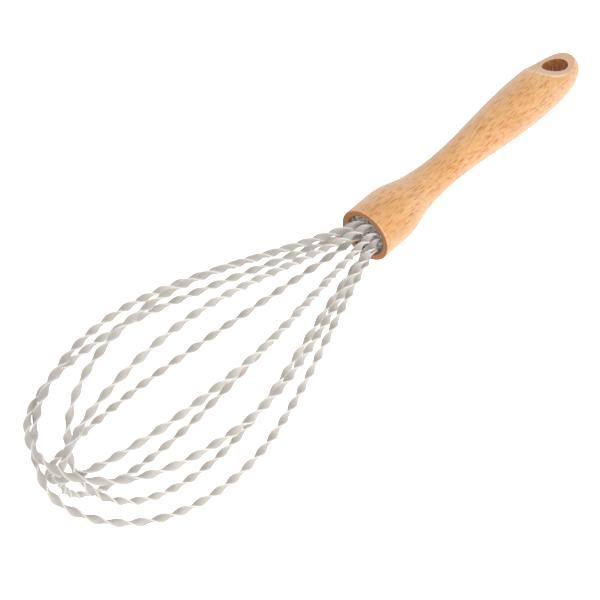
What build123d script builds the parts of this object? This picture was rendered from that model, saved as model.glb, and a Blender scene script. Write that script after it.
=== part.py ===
from build123d import *
import math
import os

# A balloon whisk: a turned beech handle and five closed loops of flat, twisted silicone, each
# moulded round a spring-steel wire and potted into the mouth of the handle with resin.
#
# It lies on the worktop (z = 0) on two strands and the butt. The origin is on the worktop, in
# the middle of the whisk's footprint. The tip points to +X, the hang hole to -X, +Y to the back.

os.makedirs("parts", exist_ok=True)

# ---- How it lies ----------------------------------------------------------------------------
rest_incline = 5.7          # degrees that the whisk's axis climbs towards the tip
rest_roll = 4.9             # degrees that the whisk is rolled about its axis
mouth_x = -10.37            # centre of the handle's mouth
mouth_y = -2.11
mouth_height = 23.4

# ---- Handle ---------------------------------------------------------------------------------
handle_length = 148.0
mouth_radius = 11.9
mouth_round = 0.6
collar_length = 14.6        # the straight part behind the mouth
neck_distance = 27.2        # from the mouth, half way down to the waist
neck_radius = 9.65
waist_distance = 50.6
waist_radius = 7.3
grip_distance = 117.0       # from the mouth to where the rounded butt begins
grip_radius = 11.0
butt_fullness = 0.70        # 0.55 would make the butt an ellipse
bore_radius = 9.1
bore_depth = 20.0
bore_lip = 0.4

# ---- Hang hole, between two scooped flats ------------------------------------------------------
hole_distance = 135.4       # from the mouth
hole_radius = 5.7
hole_edge = 0.5
hole_azimuth = 77.0         # degrees round the whisk's axis from its underside
scoop_distance = 136.8      # from the mouth to the middle of the scoops
scoop_radius = 28.0
web_thickness = 9.0         # wood left between the scoops

# ---- Wire loops --------------------------------------------------------------------------------
loop_count = 5
strand_pitch = 180.0 / loop_count
mouth_exit_radius = 6.0     # circle on which the ten strands leave the mouth
mouth_exit_angle = 16.0     # degrees between a strand and the axis as it leaves
shank_radius = 5.8          # circle on which the wire ends sit in the bore
wire_depth = 17.0
exit_pull = 45.0            # reach of the curve out of the mouth
side_pull = 30.0            # reach of the curve into the widest point

# One entry per loop, in order round the axis from the whisk's underside.
tip_distance = [164.3, 159.1, 152.2, 167.3, 166.5]  # from the mouth
half_width = [38.7, 43.0, 36.4, 37.1, 37.5]
widest_distance = [108.0, 106.2, 101.5, 110.0, 110.6]
shoulder_pull = [49.5, 45.4, 41.1, 43.8, 49.2]      # reach of the curve out of the widest point
tip_pull = [11.7, 11.4, 11.7, 11.3, 11.9]           # reach of the curve into the tip
turned = [0.1, -1.5, -3.5, 3.3, 1.4]                # degrees off its even place round the axis
leans_out = [-2.8, 1.7, 1.8, -0.2, 1.2]             # degrees, in the loop's own plane
leans_aside = [-1.9, -2.0, -3.6, 0.4, 5.8]          # degrees, out of the loop's own plane
half_turn = [8.19, 8.38, 8.3, 7.83, 8.39]           # length in which the ribbon turns 180 degrees
twist_start = [14.0, 27.0, 28.0, 13.0, 94.0]        # degrees

# ---- Strand section ----------------------------------------------------------------------------
wire_radius = 0.6
ribbon_width = 3.3
ribbon_thickness = 1.5
ribbon_depth = 2.0          # from the mouth down to the resin, where the silicone ends
ribbon_trim = 1.0           # swept past the resin's face, then cut off flush with it
guide_points_per_half_turn = 8

# ---- Planes ------------------------------------------------------------------------------------
incline = math.radians(rest_incline)
mouth_centre = Vector(mouth_x, mouth_y, mouth_height)
tip_direction = Vector(math.cos(incline), 0, math.sin(incline))
whisk_axis = Axis(mouth_centre, tip_direction)

# Local x runs to the tip, y to the underside and z to the back.
whisk = Plane(origin=mouth_centre, x_dir=tip_direction, z_dir=(0, 1, 0))
whisk = whisk.moved(Rotation(rest_roll, 0, 0))
mouth_plane = Plane(origin=mouth_centre, x_dir=whisk.y_dir, z_dir=tip_direction)
scoop_plane = whisk.moved(Rotation(hole_azimuth, 0, 0))
hole_plane = Plane(origin=mouth_centre, x_dir=tip_direction, z_dir=scoop_plane.y_dir)


def loop_plane(number):
    """Plane of one wire loop: local x is the loop's own axis, y points to its first strand."""
    azimuth = strand_pitch * (number + 0.5) + turned[number]
    return whisk.moved(Rotation(azimuth, -leans_aside[number], leans_out[number]))


def loop_path(number, depth):
    """Centreline of one wire loop over the tip, with both ends at a depth in the bore."""
    tip = tip_distance[number]
    widest = widest_distance[number]
    width = half_width[number]
    slope = math.tan(math.radians(mouth_exit_angle))
    pull = exit_pull * math.cos(math.radians(mouth_exit_angle))
    bend_pull = ribbon_depth / 3
    with BuildLine(loop_plane(number)) as path:
        for side in (1, -1):
            if depth > ribbon_depth:
                Line((-depth, side * shank_radius), (-ribbon_depth, side * shank_radius))
            Bezier(
                (-ribbon_depth, side * shank_radius),
                (-ribbon_depth + bend_pull, side * shank_radius),
                (-bend_pull, side * (mouth_exit_radius - bend_pull * slope)),
                (0, side * mouth_exit_radius),
            )
            Bezier(
                (0, side * mouth_exit_radius),
                (pull, side * (mouth_exit_radius + pull * slope)),
                (widest - side_pull, side * width),
                (widest, side * width),
            )
            Bezier(
                (widest, side * width),
                (widest + shoulder_pull[number], side * width),
                (tip, side * tip_pull[number]),
                (tip, 0),
            )
    return path.wire()


def ribbon_frame(number, path, distance):
    """Plane across the ribbon at a distance along its path: local x runs across its width."""
    across = Plane(
        origin=path.position_at(distance, position_mode=PositionMode.LENGTH),
        x_dir=loop_plane(number).z_dir,
        z_dir=path.tangent_at(distance, position_mode=PositionMode.LENGTH),
    )
    twist = twist_start[number] + 180 * (distance - ribbon_trim) / half_turn[number]
    return across.moved(Rotation(0, 0, twist))


def twist_guide(number, path):
    """Curve that winds round a loop once for every full turn of its ribbon."""
    steps = math.ceil(path.length / half_turn[number] * guide_points_per_half_turn)
    points = []
    for step in range(steps + 1):
        across = ribbon_frame(number, path, path.length * step / steps)
        points.append(across.from_local_coords((ribbon_width, 0, 0)))
    return Edge.make_spline(points)


# ---- Handle ------------------------------------------------------------------------------------
with BuildPart() as handle:
    with BuildSketch(whisk):
        with BuildLine():
            Line((0, 0), (0, mouth_radius))
            Line((0, mouth_radius), (-collar_length, mouth_radius))
            Spline(
                (-collar_length, mouth_radius),
                (-neck_distance, neck_radius),
                (-waist_distance, waist_radius),
                (-grip_distance, grip_radius),
                tangents=((-1, 0), (-1, 0)),
            )
            Bezier(
                (-grip_distance, grip_radius),
                (-grip_distance - butt_fullness * (handle_length - grip_distance), grip_radius),
                (-handle_length, butt_fullness * grip_radius),
                (-handle_length, 0),
            )
            Line((-handle_length, 0), (0, 0))
        make_face()
    revolve(axis=whisk_axis)
    rim = handle.edges().filter_by(GeomType.CIRCLE).sort_by(whisk_axis)[-1]
    fillet(rim, radius=mouth_round)
    with BuildSketch(mouth_plane):
        Circle(bore_radius)
    extrude(amount=-bore_depth, mode=Mode.SUBTRACT)
    bore_rim = handle.edges().filter_by(GeomType.CIRCLE).filter_by(
        lambda edge: abs(edge.radius - bore_radius) < bore_lip / 2
    ).sort_by(whisk_axis)[-1]
    chamfer(bore_rim, length=bore_lip)
    with BuildSketch(scoop_plane):
        with Locations(
            (-scoop_distance, web_thickness / 2 + scoop_radius),
            (-scoop_distance, -web_thickness / 2 - scoop_radius),
        ):
            Circle(scoop_radius)
    extrude(amount=2 * grip_radius, both=True, mode=Mode.SUBTRACT)
    before_hole = handle.edges()
    with BuildSketch(hole_plane):
        with Locations((-hole_distance, 0)):
            Circle(hole_radius)
    extrude(amount=grip_radius, both=True, mode=Mode.SUBTRACT)
    hole_rims = (handle.edges() - before_hole).filter_by(lambda edge: edge.is_closed)
    fillet(hole_rims, radius=hole_edge)
handle.part.label = "handle"
export_step(handle.part, "parts/handle.step")

# ---- Wire loops --------------------------------------------------------------------------------
core_wires = []
for number in range(loop_count):
    label = f"core_wire_{number + 1}"
    path = loop_path(number, wire_depth)
    with BuildPart() as core_wire:
        with BuildSketch(Plane(origin=path @ 0, z_dir=path % 0)):
            Circle(wire_radius)
        sweep(path=path)
    core_wire.part.label = label
    export_step(core_wire.part, f"parts/{label}.step")
    core_wires.append(core_wire.part)

for number in range(loop_count):
    label = f"silicone_ribbon_{number + 1}"
    path = loop_path(number, ribbon_depth + ribbon_trim)
    with BuildPart() as silicone_ribbon:
        with BuildSketch(ribbon_frame(number, path, 0)):
            Ellipse(ribbon_width / 2, ribbon_thickness / 2)
        sweep(path=path, binormal=twist_guide(number, path))
        split(bisect_by=mouth_plane.offset(-ribbon_depth), keep=Keep.TOP)
        add(core_wires[number], mode=Mode.SUBTRACT)
    silicone_ribbon.part.label = label
    export_step(silicone_ribbon.part, f"parts/{label}.step")

# ---- Potting resin -----------------------------------------------------------------------------
with BuildPart() as potting_resin:
    with BuildSketch(mouth_plane.offset(-bore_depth)):
        Circle(bore_radius)
    extrude(amount=bore_depth - ribbon_depth)
    for core_wire_part in core_wires:
        add(core_wire_part, mode=Mode.SUBTRACT)
potting_resin.part.label = "potting_resin"
export_step(potting_resin.part, "parts/potting_resin.step")
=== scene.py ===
import math

import bpy
from mathutils import Matrix, Vector, noise


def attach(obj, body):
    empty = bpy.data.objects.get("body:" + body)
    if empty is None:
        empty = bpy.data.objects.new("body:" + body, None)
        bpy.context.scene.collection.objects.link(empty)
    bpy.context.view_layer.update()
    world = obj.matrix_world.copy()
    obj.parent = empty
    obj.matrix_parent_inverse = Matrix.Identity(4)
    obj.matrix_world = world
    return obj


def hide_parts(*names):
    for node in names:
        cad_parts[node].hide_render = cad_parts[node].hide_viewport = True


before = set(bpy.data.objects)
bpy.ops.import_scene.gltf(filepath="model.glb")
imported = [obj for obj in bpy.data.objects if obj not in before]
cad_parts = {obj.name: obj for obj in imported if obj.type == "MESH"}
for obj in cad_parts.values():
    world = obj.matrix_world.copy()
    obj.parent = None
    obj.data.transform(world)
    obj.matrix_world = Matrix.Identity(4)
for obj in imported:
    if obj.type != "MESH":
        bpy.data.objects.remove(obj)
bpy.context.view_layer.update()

# A balloon whisk in metres, in the same frame as its CAD: z = 0 is the worktop, the tip points to +X.
MM = 0.001

# ---- How the whisk lies (the same driving sizes as the CAD, in mm) --------------------------------
REST_INCLINE = 5.7
REST_ROLL = 4.9
MOUTH_PLACE = (-10.37, -2.11, 23.4)

BORE_RADIUS = 9.1
RIBBON_DEPTH = 2.0
BORE_DEPTH = 20.0
MOUTH_EXIT_RADIUS = 6.0
MOUTH_EXIT_ANGLE = 16.0
SHANK_RADIUS = 5.8
EXIT_PULL = 45.0
SIDE_PULL = 30.0
LOOP_COUNT = 5
STRAND_PITCH = 180.0 / LOOP_COUNT

# One entry per loop, in order round the axis from the whisk's underside.
TIP_DISTANCE = [164.3, 159.1, 152.2, 167.3, 166.5]
HALF_WIDTH = [38.7, 43.0, 36.4, 37.1, 37.5]
WIDEST_DISTANCE = [108.0, 106.2, 101.5, 110.0, 110.6]
SHOULDER_PULL = [49.5, 45.4, 41.1, 43.8, 49.2]
TIP_PULL = [11.7, 11.4, 11.7, 11.3, 11.9]
TURNED = [0.1, -1.5, -3.5, 3.3, 1.4]
LEANS_OUT = [-2.8, 1.7, 1.8, -0.2, 1.2]
LEANS_ASIDE = [-1.9, -2.0, -3.6, 0.4, 5.8]
HALF_TURN = [8.19, 8.38, 8.3, 7.83, 8.39]
TWIST_START = [14.0, 27.0, 28.0, 13.0, 94.0]

RIBBON_WIDTH = 3.3
RIBBON_THICKNESS = 1.5
RIBBON_SHARPNESS = 1.2      # 1 is an ellipse, more thins the edges
RING_STEP = 0.35            # mm between the rings of a ribbon's mesh
RING_POINTS = 20
CURVE_STEPS = 120           # straight steps in each curve of a strand
EDGE_HIGHLIGHT_FALLOFF = 7            # how narrow the painted edge highlight is
TWIST_UNEVENNESS = 14.0     # degrees either way
TWIST_WANDER = 23.0         # mm of strand over which the twist wanders
WIDTH_UNEVENNESS = 0.05     # share of the width either way
WIDTH_WANDER = 6.0          # mm of strand over which the width wanders

# ---- Hang hole and scoops --------------------------------------------------------------------------
HOLE_DISTANCE = 135.4
HOLE_RADIUS = 5.7
HOLE_AZIMUTH = 77.0
SCOOP_DISTANCE = 136.8
SCOOP_RADIUS = 28.0
WEB_THICKNESS = 9.0


def rotation(degrees, axis):
    return Matrix.Rotation(math.radians(degrees), 3, axis)


# Columns are the whisk's own axes: x to the tip, y to the underside, z to the back.
INCLINE = math.radians(REST_INCLINE)
TIP_AXIS = Vector((math.cos(INCLINE), 0, math.sin(INCLINE)))
UNDER_AXIS = Vector((math.sin(INCLINE), 0, -math.cos(INCLINE)))
BACK_AXIS = Vector((0, 1, 0))
WHISK = Matrix((TIP_AXIS, UNDER_AXIS, BACK_AXIS)).transposed() @ rotation(REST_ROLL, "X")
MOUTH = Vector(MOUTH_PLACE)


def placed(point):
    """A point in the whisk's own axes, in mm, to the shared frame, in metres."""
    return (MOUTH + WHISK @ Vector(point)) * MM


# ---- Strand centrelines -----------------------------------------------------------------------------
def bezier(ends, steps):
    """Points along the curve that starts at the first of four points and ends at the last."""
    a, b, c, d = ends
    points = []
    for step in range(steps + 1):
        t = step / steps
        s = 1 - t
        weights = (s ** 3, 3 * s * s * t, 3 * s * t * t, t ** 3)
        points.append([sum(w * p[i] for w, p in zip(weights, (a, b, c, d))) for i in range(2)])
    return points


def half_loop(number, side):
    """One strand from the bore to the tip, in the plane of its loop."""
    slope = math.tan(math.radians(MOUTH_EXIT_ANGLE))
    pull = EXIT_PULL * math.cos(math.radians(MOUTH_EXIT_ANGLE))
    bend = RIBBON_DEPTH / 3
    widest = WIDEST_DISTANCE[number]
    width = HALF_WIDTH[number]
    tip = TIP_DISTANCE[number]
    pieces = (
        ((-RIBBON_DEPTH, SHANK_RADIUS), (-RIBBON_DEPTH + bend, SHANK_RADIUS),
         (-bend, MOUTH_EXIT_RADIUS - bend * slope), (0, MOUTH_EXIT_RADIUS)),
        ((0, MOUTH_EXIT_RADIUS), (pull, MOUTH_EXIT_RADIUS + pull * slope),
         (widest - SIDE_PULL, width), (widest, width)),
        ((widest, width), (widest + SHOULDER_PULL[number], width), (tip, TIP_PULL[number]), (tip, 0)),
    )
    points = [(-RIBBON_DEPTH, side * SHANK_RADIUS)]
    for ends in pieces:
        points += [(x, side * y) for x, y in bezier(ends, CURVE_STEPS)[1:]]
    return points


def loop_matrix(number):
    """Columns are a loop's own axes: x along it, y to its first strand, z square to its plane."""
    azimuth = STRAND_PITCH * (number + 0.5) + TURNED[number]
    return (rotation(azimuth, "X") @ rotation(-LEANS_ASIDE[number], "Y")
            @ rotation(LEANS_OUT[number], "Z"))


def evenly_spaced(points, step):
    """Points at equal steps along a polyline, and their distances from its start."""
    travelled = [0.0]
    for p, q in zip(points, points[1:]):
        travelled.append(travelled[-1] + (q - p).length)
    count = round(travelled[-1] / step)
    spaced = []
    distances = []
    segment = 0
    for k in range(count + 1):
        distance = travelled[-1] * k / count
        while segment < len(points) - 2 and travelled[segment + 1] < distance:
            segment += 1
        share = (distance - travelled[segment]) / (travelled[segment + 1] - travelled[segment])
        spaced.append(points[segment].lerp(points[segment + 1], share))
        distances.append(distance)
    return spaced, distances


def make_mesh(name, vertices, faces):
    """A smooth-shaded piece in the scene, from points in metres."""
    mesh = bpy.data.meshes.new(name)
    mesh.from_pydata([tuple(v) for v in vertices], [], faces)
    mesh.update()
    mesh.shade_smooth()
    piece = bpy.data.objects.new(name, mesh)
    bpy.context.scene.collection.objects.link(piece)
    return piece


def side_faces(rings, around):
    """Four-sided faces between rings of points that follow each other in the list of vertices."""
    faces = []
    for ring in range(rings - 1):
        for k in range(around):
            a = ring * around + k
            b = ring * around + (k + 1) % around
            faces.append((a, b, b + around, a + around))
    return faces


def tube_faces(rings, around):
    """A closed tube: the sides and a flat cap at each end."""
    faces = side_faces(rings, around)
    faces.append(tuple(reversed(range(around))))
    faces.append(tuple(range((rings - 1) * around, rings * around)))
    return faces


# ---- Silicone ribbons -------------------------------------------------------------------------------
def silicone_ribbon(number):
    """A flat strip twisted along its loop, a little uneven in pitch and width as moulded strip is."""
    plane = loop_matrix(number)
    outline = half_loop(number, 1) + half_loop(number, -1)[::-1][1:]
    centres, distances = evenly_spaced([plane @ Vector((x, y, 0)) for x, y in outline], RING_STEP)
    normal = plane @ Vector((0, 0, 1))
    vertices = []
    edge_highlight_values = []
    for k, (centre, distance) in enumerate(zip(centres, distances)):
        ahead = centres[min(k + 1, len(centres) - 1)]
        behind = centres[max(k - 1, 0)]
        tangent = (ahead - behind).normalized()
        across = (normal - tangent * normal.dot(tangent)).normalized()
        beside = tangent.cross(across)
        unevenness = noise.noise(Vector((distance / TWIST_WANDER, number * 7.1, 0.3)))
        twist = math.radians(TWIST_START[number] + 180 * distance / HALF_TURN[number]
                             + TWIST_UNEVENNESS * unevenness)
        swell = 1 + WIDTH_UNEVENNESS * noise.noise(
            Vector((distance / WIDTH_WANDER, number * 3.7, 5.2)))
        for j in range(RING_POINTS):
            angle = 2 * math.pi * j / RING_POINTS
            wide = RIBBON_WIDTH / 2 * math.cos(angle) * swell
            thick = RIBBON_THICKNESS / 2 * math.copysign(abs(math.sin(angle)) ** RIBBON_SHARPNESS,
                                                         math.sin(angle))
            u = wide * math.cos(twist) - thick * math.sin(twist)
            v = wide * math.sin(twist) + thick * math.cos(twist)
            vertices.append(placed(centre + across * u + beside * v))
            # Weight of the painted edge highlight: 1 at the strip's thin edges, falling off across its
            # faces.
            edge_highlight_values.append(abs(math.cos(angle)) ** EDGE_HIGHLIGHT_FALLOFF)
    piece = make_mesh(f"twisted_ribbon_{number + 1}", vertices, tube_faces(len(centres), RING_POINTS))
    edge_highlight = piece.data.attributes.new("edge_highlight", "FLOAT", "POINT")
    edge_highlight.data.foreach_set("value", edge_highlight_values)
    return piece


# ---- Potting resin ----------------------------------------------------------------------------------
RESIN_RINGS = 46            # rings of mesh from the wall of the bore to the middle
RESIN_RING_POINTS = 144
RESIN_GAP = 0.03            # mm kept free between the resin and the bore, all round
RESIN_DEPTH = 1.25          # mm from the mouth down to the lumpy top
RESIN_END_GAP = 0.05        # mm kept free at the bottom of the bore
MIDDLE_RISE = 0.05          # mm that the middle stands above the lumpy top's mean height
COARSE_LUMPS = (2.3, 0.55)  # size and height in mm
FINE_LUMPS = (0.9, 0.28)
RESIN_CLIMB = 0.7           # mm that the resin climbs up each strand
CLIMB_REACH = 1.9
RESIN_SETTLE = 0.5          # mm that it sinks towards the wall of the bore


def resin_plug():
    """The resin fill, with a lumpy top that climbs a little round each strand."""
    rings, around = RESIN_RINGS, RESIN_RING_POINTS
    strands = []
    for number in range(LOOP_COUNT):
        for side in (1, -1):
            strands.append(loop_matrix(number) @ Vector((0, side * MOUTH_EXIT_RADIUS, 0)))
    radius = BORE_RADIUS - RESIN_GAP
    vertices = []
    for ring in range(rings):
        r = radius * (1 - ring / rings)
        for k in range(around):
            angle = 2 * math.pi * k / around
            y, z = r * math.cos(angle), r * math.sin(angle)
            lumps = 0.0
            for (size, height), seed in ((COARSE_LUMPS, 1.7), (FINE_LUMPS, 4.1)):
                lumps += noise.noise(Vector((y / size, z / size, seed))) * height
            nearest = min(math.hypot(s.y - y, s.z - z) for s in strands)
            climb = RESIN_CLIMB * math.exp(-(nearest / CLIMB_REACH) ** 2)
            settle = RESIN_SETTLE * (r / radius) ** 4
            vertices.append(placed((-RESIN_DEPTH + lumps + climb - settle, y, z)))
    top_middle = len(vertices)
    vertices.append(placed((-RESIN_DEPTH + MIDDLE_RISE, 0, 0)))
    bottom = len(vertices)
    for k in range(around):
        angle = 2 * math.pi * k / around
        vertices.append(placed((-BORE_DEPTH + RESIN_END_GAP, radius * math.cos(angle),
                                radius * math.sin(angle))))
    faces = side_faces(rings, around)
    last = (rings - 1) * around
    for k in range(around):
        n = (k + 1) % around
        faces.append((last + k, last + n, top_middle))
        faces.append((bottom + n, n, k, bottom + k)[::-1])
    faces.append(tuple(bottom + k for k in reversed(range(around))))
    return make_mesh("resin_fill", vertices, faces)


# ---- Material helpers -------------------------------------------------------------------------------
class Nodes:
    """A material's node tree, with one short call per node."""

    def __init__(self, name):
        self.material = bpy.data.materials.new(name)
        self.material.use_nodes = True
        self.tree = self.material.node_tree
        self.shader = self.tree.nodes["Principled BSDF"]

    def put(self, socket, value):
        if isinstance(value, bpy.types.NodeSocket):
            self.tree.links.new(value, socket)
        elif value is not None:
            socket.default_value = value

    def math(self, operation, a, b=None, c=None):
        node = self.tree.nodes.new("ShaderNodeMath")
        node.operation = operation
        for socket, value in zip(node.inputs, (a, b, c)):
            self.put(socket, value)
        return node.outputs[0]

    def vector(self, operation, a, b=None, output=0):
        node = self.tree.nodes.new("ShaderNodeVectorMath")
        node.operation = operation
        self.put(node.inputs[0], a)
        self.put(node.inputs[1], b)
        return node.outputs[output]

    def dot(self, a, b):
        return self.vector("DOT_PRODUCT", a, b, output="Value")

    def point(self):
        return self.tree.nodes.new("ShaderNodeTexCoord").outputs["Object"]

    def normal(self):
        return self.tree.nodes.new("ShaderNodeNewGeometry").outputs["Normal"]

    def length(self, a, b):
        """Square root of a squared plus b squared."""
        return self.math("SQRT", self.math("ADD", self.math("MULTIPLY", a, a),
                                           self.math("MULTIPLY", b, b)))

    def turned(self, under, back, degrees):
        """How far a point lies towards a direction round the whisk's axis, and aside from it."""
        turn = math.radians(degrees)
        towards = self.math("ADD", self.math("MULTIPLY", under, math.cos(turn)),
                            self.math("MULTIPLY", back, math.sin(turn)))
        aside = self.math("SUBTRACT", self.math("MULTIPLY", back, math.cos(turn)),
                          self.math("MULTIPLY", under, math.sin(turn)))
        return towards, aside

    def combine(self, x, y, z):
        node = self.tree.nodes.new("ShaderNodeCombineXYZ")
        for socket, value in zip(node.inputs, (x, y, z)):
            self.put(socket, value)
        return node.outputs[0]

    def noise(self, where, scale=1.0, detail=3.0, rough=0.5, distortion=0.0):
        node = self.tree.nodes.new("ShaderNodeTexNoise")
        self.put(node.inputs["Vector"], where)
        node.inputs["Scale"].default_value = scale
        node.inputs["Detail"].default_value = detail
        node.inputs["Roughness"].default_value = rough
        node.inputs["Distortion"].default_value = distortion
        return node.outputs["Fac"]

    def grain_noise(self, along, under, back, lengthwise, crosswise, detail):
        """Noise stretched along the whisk: both numbers are waves per mm."""
        where = self.combine(self.math("MULTIPLY", along, lengthwise),
                             self.math("MULTIPLY", under, crosswise),
                             self.math("MULTIPLY", back, crosswise))
        return self.noise(where, detail=detail)

    def cells(self, where):
        """Distance to the nearest of many scattered points, and a random value that goes with it."""
        node = self.tree.nodes.new("ShaderNodeTexVoronoi")
        self.put(node.inputs["Vector"], where)
        node.inputs["Scale"].default_value = 1.0
        return node.outputs["Distance"], node.outputs["Color"]

    def between(self, value, low, high, out_low=0.0, out_high=1.0):
        """Smooth step from out_low at low to out_high at high."""
        node = self.tree.nodes.new("ShaderNodeMapRange")
        node.interpolation_type = "SMOOTHSTEP"
        for socket, given in zip(node.inputs, (value, low, high, out_low, out_high)):
            self.put(socket, given)
        return node.outputs[0]

    def mix(self, share, a, b):
        node = self.tree.nodes.new("ShaderNodeMix")
        node.data_type = "RGBA"
        self.put(node.inputs[0], share)
        self.put(node.inputs[6], a)
        self.put(node.inputs[7], b)
        return node.outputs[2]

    def bump(self, height, strength, distance_mm, below=None):
        node = self.tree.nodes.new("ShaderNodeBump")
        node.inputs["Strength"].default_value = strength
        node.inputs["Distance"].default_value = distance_mm * MM
        self.put(node.inputs["Height"], height)
        self.put(node.inputs["Normal"], below)
        return node.outputs[0]

    def set(self, **values):
        for name, value in values.items():
            self.put(self.shader.inputs[name.replace("_", " ")], value)


def colour(red, green, blue):
    """Display values 0 to 255 to a linear colour."""
    linear = []
    for value in (red, green, blue):
        share = value / 255
        linear.append(share / 12.92 if share <= 0.04045 else ((share + 0.055) / 1.055) ** 2.4)
    return (*linear, 1.0)


def whisk_point(nodes):
    """The shaded point in the whisk's own axes, in mm: along to the tip, under and back."""
    offset = nodes.vector("SUBTRACT", nodes.point(), tuple(MOUTH * MM))
    return [nodes.math("MULTIPLY", nodes.dot(offset, tuple(WHISK.col[k])), 1 / MM) for k in range(3)]


# ---- Beech ------------------------------------------------------------------------------------------
HEART_AZIMUTH = 62.0        # degrees round the whisk's axis, from its underside, to the tree's heart
HEART_DISTANCE = 34.0
HEART_SLANT = 0.06          # how fast the handle's axis leaves the heart towards the butt
RING_SPACING = 1.9
ARCH_AZIMUTH = 174.0        # where the rings come out as arches
ARCH_SPACING = 5.4
ARCH_BEND = 0.42            # mm that an arch falls back at 1 mm from its crown
RING_WAVINESS = 2.4         # in ring spacings
ARCH_WAVINESS = 2.5         # in arch spacings
BOLD_RAY_CELL = (6.4, 0.42, 3.2)    # mm along the handle, round the heart and out from the heart
FINE_RAY_CELL = (4.6, 0.28, 2.6)


def wood_grain(nodes, along, under, back):
    """Colour of turned beech with a painted sheen at grazing angles, and a height field for its pores.
    """
    to_heart, sideways = nodes.turned(under, back, HEART_AZIMUTH)
    axis_to_heart = nodes.math("MULTIPLY_ADD", along, -HEART_SLANT, HEART_DISTANCE)
    outward = nodes.math("SUBTRACT", axis_to_heart, to_heart)
    radius = nodes.length(outward, sideways)
    bearing = nodes.math("ARCTAN2", sideways, outward)
    arc = nodes.math("MULTIPLY", bearing, HEART_DISTANCE)

    # Slow changes of tone along the blank.
    tone = nodes.grain_noise(along, under, back, 0.03, 0.10, detail=2.0)
    wood = nodes.mix(nodes.between(tone, 0.3, 0.7), colour(225, 170, 111), colour(237, 187, 133))

    # Growth rings, wavy where they run out at the surface.
    waves = nodes.grain_noise(along, under, back, 0.085, 0.16, detail=2.0)
    ring = nodes.math("FRACT", nodes.math("MULTIPLY_ADD", waves, RING_WAVINESS,
                                          nodes.math("DIVIDE", radius, RING_SPACING)))
    late_wood = nodes.math("MULTIPLY", nodes.between(ring, 0.50, 0.92),
                           nodes.between(ring, 0.93, 1.0, 1.0, 0.0))
    wood = nodes.mix(nodes.math("MULTIPLY", late_wood, 0.34), wood, colour(205, 146, 92))

    # Where the surface runs level with the rings they come out as stacked arches.
    to_crown, from_crown = nodes.turned(under, back, ARCH_AZIMUTH)
    arch = nodes.math("MULTIPLY_ADD", nodes.math("MULTIPLY", from_crown, from_crown),
                      -ARCH_BEND, along)
    arch = nodes.math("FRACT", nodes.math("MULTIPLY_ADD", waves, ARCH_WAVINESS,
                                          nodes.math("DIVIDE", arch, ARCH_SPACING)))
    arch_line = nodes.math("MULTIPLY", nodes.between(arch, 0.66, 0.84),
                           nodes.between(arch, 0.87, 0.97, 1.0, 0.0))
    near_crown = nodes.math("MULTIPLY",
                            nodes.between(nodes.math("ABSOLUTE", from_crown), 1.6, 3.6, 1.0, 0.0),
                            nodes.between(to_crown, 0.0, 3.0))
    arch_line = nodes.math("MULTIPLY", arch_line, near_crown)
    wood = nodes.mix(nodes.math("MULTIPLY", arch_line, 0.60), wood, colour(212, 134, 74))

    # Rays: thin plates that point away from the heart, cut end-on as dashes and side-on as flecks.
    def rays(cell, inner, outer):
        """About one ray to a cell, solid within inner of its middle and gone beyond outer."""
        where = nodes.combine(nodes.math("DIVIDE", along, cell[0]),
                              nodes.math("DIVIDE", arc, cell[1]),
                              nodes.math("DIVIDE", radius, cell[2]))
        distance, chance = nodes.cells(where)
        return nodes.math("MULTIPLY", nodes.between(distance, inner, outer, 1.0, 0.0),
                          nodes.between(chance, 0.15, 0.55, 0.35, 1.0))

    bold_rays = rays(BOLD_RAY_CELL, 0.26, 0.36)
    fine_rays = rays(FINE_RAY_CELL, 0.28, 0.40)
    wood = nodes.mix(nodes.math("MULTIPLY", fine_rays, 0.80), wood, colour(210, 142, 76))
    wood = nodes.mix(nodes.math("MULTIPLY", bold_rays, 0.95), wood, colour(188, 108, 40))

    fibres = nodes.grain_noise(along, under, back, 0.30, 4.0, detail=3.0)
    wood = nodes.mix(nodes.between(fibres, 0.40, 0.68, 0.0, 0.30), wood, colour(208, 152, 102))

    # Painted sheen: the colour turns pale where the surface turns away from the camera, standing in
    # for the white room's reflection at grazing angles.
    facing = nodes.tree.nodes.new("ShaderNodeLayerWeight").outputs["Facing"]
    wood = nodes.mix(nodes.between(facing, 0.22, 0.85, 0.0, 0.62), wood, colour(240, 214, 190))
    return wood, nodes.math("SUBTRACT", fibres, bold_rays)


def end_grain(nodes, wood, along, under, back):
    """The mouth's rim and bore are cut across the grain, so they are darker and redder; the rounded
    edge of the rim gets a painted highlight.
    """
    facing_tip = nodes.dot(nodes.normal(), tuple(TIP_AXIS))
    on_rim = nodes.math("MULTIPLY", nodes.between(facing_tip, 0.72, 0.97),
                        nodes.between(along, -3.0, -1.5))
    axis_distance = nodes.length(under, back)
    in_bore = nodes.math("MULTIPLY",
                         nodes.between(axis_distance, BORE_RADIUS + 0.2, BORE_RADIUS + 0.5, 1.0, 0.0),
                         nodes.between(along, -BORE_DEPTH - 5.0, -BORE_DEPTH - 2.0))
    speckle = nodes.noise(nodes.combine(along, under, back), scale=2.2, detail=2.0)
    cut = nodes.mix(nodes.between(speckle, 0.35, 0.65), colour(156, 98, 50), colour(196, 136, 82))
    # Painted highlight on the rounded outer edge of the rim.
    rounded = nodes.math("MULTIPLY", nodes.between(facing_tip, 0.15, 0.35),
                         nodes.between(facing_tip, 0.62, 0.80, 1.0, 0.0))
    painted_highlight = nodes.math("MULTIPLY", rounded, nodes.between(along, -1.5, -1.0))
    wood = nodes.mix(nodes.math("MULTIPLY", painted_highlight, 0.45), wood, colour(244, 208, 172))
    return nodes.mix(nodes.math("MAXIMUM", on_rim, in_bore), wood, cut)


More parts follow.
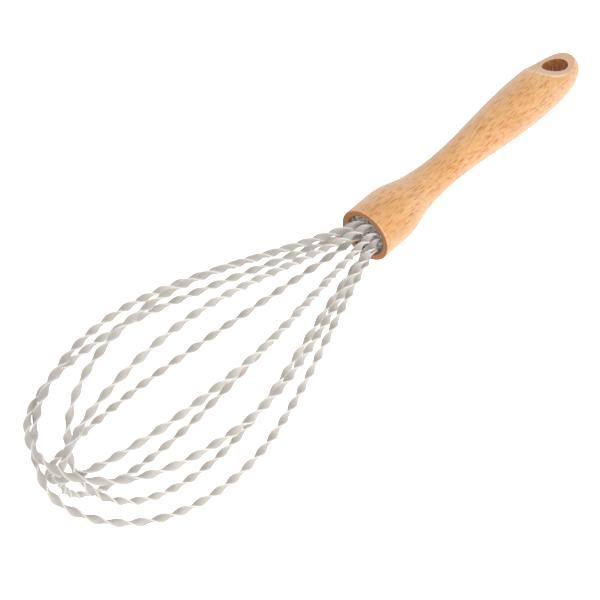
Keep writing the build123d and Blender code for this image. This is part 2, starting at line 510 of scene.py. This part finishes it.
def hole_and_scoops(nodes, wood, along, under, back):
    """Sanded scoops are paler, with a painted highlight along their mouth-side edge and round the lip
    of the hang hole; the wall of the hang hole is darker.
    """
    to_hole, aside = nodes.turned(under, back, HOLE_AZIMUTH)
    scoop_along = nodes.math("ADD", along, SCOOP_DISTANCE)
    scoop_height = nodes.math("SUBTRACT", nodes.math("ABSOLUTE", to_hole),
                              WEB_THICKNESS / 2 + SCOOP_RADIUS)
    scoop_reach = nodes.length(scoop_along, scoop_height)
    off_scoop = nodes.math("ABSOLUTE", nodes.math("SUBTRACT", scoop_reach, SCOOP_RADIUS))
    on_scoop = nodes.between(off_scoop, 0.12, 0.35, 1.0, 0.0)
    wood = nodes.mix(nodes.math("MULTIPLY", on_scoop, 0.60), wood, colour(226, 190, 156))

    # Painted highlight along the scoop's rounded mouth-side edge.
    axis_distance = nodes.length(under, back)
    mouth_side = nodes.math("MULTIPLY", nodes.between(scoop_along, 4.0, 8.0),
                            nodes.between(axis_distance, 9.5, 10.2))
    painted_highlight = nodes.math("MULTIPLY", nodes.between(off_scoop, 0.2, 0.7, 1.0, 0.0), mouth_side)
    wood = nodes.mix(nodes.math("MULTIPLY", painted_highlight, 0.8), wood, colour(240, 214, 188))

    hole_along = nodes.math("ADD", along, HOLE_DISTANCE)
    hole_reach = nodes.length(hole_along, aside)
    # Painted highlight on the rounded lip of the hang hole.
    lip_highlight = nodes.between(hole_reach, HOLE_RADIUS + 0.5, HOLE_RADIUS + 0.9, 1.0, 0.0)
    wood = nodes.mix(nodes.math("MULTIPLY", lip_highlight, 0.7), wood, colour(240, 212, 184))
    streaks = nodes.noise(nodes.combine(nodes.math("MULTIPLY", hole_along, 1.6),
                                        nodes.math("MULTIPLY", aside, 1.6),
                                        nodes.math("MULTIPLY", to_hole, 0.25)), detail=3.0)
    wall = nodes.mix(nodes.between(streaks, 0.35, 0.65), colour(142, 84, 42), colour(190, 132, 84))
    in_hole = nodes.between(hole_reach, HOLE_RADIUS + 0.1, HOLE_RADIUS + 0.4, 1.0, 0.0)
    return nodes.mix(in_hole, wood, wall)


def beech():
    """Oiled beech all over, with the cut mouth, the sanded scoops and the hang hole."""
    nodes = Nodes("oiled_beech")
    along, under, back = whisk_point(nodes)
    wood, pores = wood_grain(nodes, along, under, back)
    wood = end_grain(nodes, wood, along, under, back)
    wood = hole_and_scoops(nodes, wood, along, under, back)
    nodes.set(Base_Color=wood, Roughness=nodes.between(pores, -0.4, 0.7, 0.62, 0.48),
              Normal=nodes.bump(pores, 0.25, 0.04))
    return nodes.material


# ---- Silicone ---------------------------------------------------------------------------------------
def silicone():
    """Matt warm grey silicone, with a painted highlight along the ribbon's thin edges."""
    nodes = Nodes("grey_silicone")
    edge_highlight = nodes.tree.nodes.new("ShaderNodeAttribute")
    edge_highlight.attribute_name = "edge_highlight"
    cloud = nodes.noise(nodes.point(), scale=90.0, detail=2.0)
    body = nodes.mix(nodes.between(cloud, 0.35, 0.65), colour(190, 184, 177), colour(200, 195, 189))
    # Painted highlight: the strip's thin edges are mixed towards a near-white grey.
    body_and_highlight = nodes.mix(edge_highlight.outputs["Fac"], body, colour(243, 238, 232))
    dust = nodes.noise(nodes.point(), scale=2600.0, detail=2.0)
    nodes.set(Base_Color=body_and_highlight, Roughness=nodes.between(dust, 0.3, 0.7, 0.5, 0.62),
              Specular_IOR_Level=0.35, Subsurface_Weight=0.15,
              Subsurface_Radius=(0.0012, 0.0011, 0.001), Subsurface_Scale=1.0,
              Normal=nodes.bump(dust, 0.12, 0.03))
    return nodes.material


# ---- Resin ------------------------------------------------------------------------------------------
def resin():
    """Glossy cast resin, mottled dark and pale, with painted glints: pale and dark flecks that stand
    in for its reflections.
    """
    nodes = Nodes("cast_resin")
    where = nodes.vector("SCALE", nodes.point())
    where.node.inputs["Scale"].default_value = 1 / MM
    lumps = nodes.noise(where, scale=0.55, detail=2.0, distortion=0.8)
    grit = nodes.noise(where, scale=1.5, detail=3.0, rough=0.6, distortion=1.2)
    deep = nodes.mix(nodes.between(lumps, 0.38, 0.62), colour(112, 104, 97), colour(186, 180, 172))
    # Painted glints: pale flecks on the grit's peaks and dark flecks in its pits stand in for the
    # bright and dark reflections of the glossy surface.
    mottle_and_glints = nodes.mix(nodes.between(grit, 0.56, 0.62), deep, colour(236, 234, 230))
    mottle_and_glints = nodes.mix(nodes.between(grit, 0.37, 0.43, 1.0, 0.0), mottle_and_glints, colour(52, 46, 41))
    nodes.set(Base_Color=mottle_and_glints, Roughness=nodes.between(lumps, 0.3, 0.7, 0.12, 0.35),
              Coat_Weight=0.6, Coat_Roughness=0.08,
              Normal=nodes.bump(grit, 0.8, 0.25, nodes.bump(lumps, 0.6, 0.6)))
    return nodes.material


# ---- Spring wire ------------------------------------------------------------------------------------
def spring_wire():
    """Drawn steel, hidden inside the silicone and the resin."""
    nodes = Nodes("drawn_spring_wire")
    streaks = nodes.noise(nodes.point(), scale=1500.0, detail=3.0)
    nodes.set(Base_Color=nodes.mix(streaks, colour(168, 168, 170), colour(200, 200, 202)),
              Metallic=1.0, Roughness=nodes.between(streaks, 0.3, 0.7, 0.25, 0.42),
              Normal=nodes.bump(streaks, 0.15, 0.02))
    return nodes.material


def give(piece, material):
    piece.data.materials.clear()
    piece.data.materials.append(material)


# ---- Build ------------------------------------------------------------------------------------------
give(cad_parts["handle"], beech())
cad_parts["handle"].data.shade_smooth()

wire_material = spring_wire()
silicone_material = silicone()
for number in range(LOOP_COUNT):
    give(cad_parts[f"core_wire_{number + 1}"], wire_material)
    ribbon = silicone_ribbon(number)
    give(ribbon, silicone_material)
    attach(ribbon, "root")
    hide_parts(f"silicone_ribbon_{number + 1}")

resin_fill = resin_plug()
give(resin_fill, resin())
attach(resin_fill, "root")
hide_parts("potting_resin")


# ---- Floor, light and camera ------------------------------------------------------------------------
ROOM_LIGHT = 0.80           # strength of the white room
ROOM_GLOW = 0.3             # more of it for the camera only, so that it looks pure white
FLOOR_GLOW = 1.2            # the same for the floor
FLOOR_REACH = 4.0           # m from the middle to each edge
LAMP_PLACE = (0.1, 0.25, 1.3)
LAMP_AIM = (0.0, 0.0, 0.02)
LAMP_SIDE = 1.2             # m
LAMP_WATTS = 10.0


def studio():
    """A white room: floor and background look pure white to the camera but light the whisk softly."""
    corners = ((-1, -1), (1, -1), (1, 1), (-1, 1))
    floor = make_mesh("studio_floor", [(x * FLOOR_REACH, y * FLOOR_REACH, 0) for x, y in corners],
                      [(0, 1, 2, 3)])
    nodes = Nodes("pale_floor")
    haze = nodes.noise(nodes.point(), scale=3.0, detail=2.0)
    seen = nodes.tree.nodes.new("ShaderNodeLightPath").outputs["Is Camera Ray"]
    nodes.set(Base_Color=nodes.mix(haze, (0.80, 0.80, 0.80, 1), (0.83, 0.83, 0.83, 1)), Roughness=0.9,
              Specular_IOR_Level=0.1, Emission_Color=(1.0, 1.0, 1.0, 1.0),
              Emission_Strength=nodes.math("MULTIPLY", seen, FLOOR_GLOW))
    give(floor, nodes.material)

    world = bpy.data.worlds.new("soft_white_room")
    bpy.context.scene.world = world
    world.use_nodes = True
    seen = world.node_tree.nodes.new("ShaderNodeLightPath").outputs["Is Camera Ray"]
    strength = world.node_tree.nodes.new("ShaderNodeMath")
    strength.operation = "MULTIPLY_ADD"
    world.node_tree.links.new(seen, strength.inputs[0])
    strength.inputs[1].default_value = ROOM_GLOW
    strength.inputs[2].default_value = ROOM_LIGHT
    background = world.node_tree.nodes["Background"]
    background.inputs["Color"].default_value = (1.0, 1.0, 1.0, 1.0)
    world.node_tree.links.new(strength.outputs[0], background.inputs["Strength"])

    light = bpy.data.lights.new("overhead_softbox", "AREA")
    light.shape = "SQUARE"
    light.size = LAMP_SIDE
    light.energy = LAMP_WATTS
    lamp = bpy.data.objects.new("overhead_softbox", light)
    lamp.location = LAMP_PLACE
    shining = Vector(LAMP_AIM) - Vector(LAMP_PLACE)
    lamp.rotation_euler = shining.to_track_quat("-Z", "Y").to_euler()
    bpy.context.scene.collection.objects.link(lamp)

    bpy.context.scene.view_settings.view_transform = "Standard"
    bpy.context.scene.view_settings.look = "None"


# The camera looks down across the balloon, turned so that the handle points up and to the right.
CAMERA_PLACE = (0.2655, -0.2821, 0.4250)
CAMERA_AIM = (0.0222, 0.0113, 0.0137)
CAMERA_UP = (-0.5363, -0.8041, -0.2565)
CAMERA_LENS = 83.87         # mm
SENSOR_WIDTH = 36.0         # mm


def camera():
    """A camera at its place, aimed and turned by the three vectors above."""
    data = bpy.data.cameras.new("studio_camera")
    data.lens = CAMERA_LENS
    data.sensor_width = SENSOR_WIDTH
    data.clip_start = 0.01
    eye = bpy.data.objects.new("studio_camera", data)
    backward = (Vector(CAMERA_PLACE) - Vector(CAMERA_AIM)).normalized()
    up = Vector(CAMERA_UP)
    up = (up - backward * up.dot(backward)).normalized()
    right = up.cross(backward)
    turned = Matrix((right, up, backward)).transposed().to_4x4()
    eye.matrix_world = Matrix.Translation(CAMERA_PLACE) @ turned
    bpy.context.scene.collection.objects.link(eye)
    bpy.context.scene.camera = eye


studio()
camera()
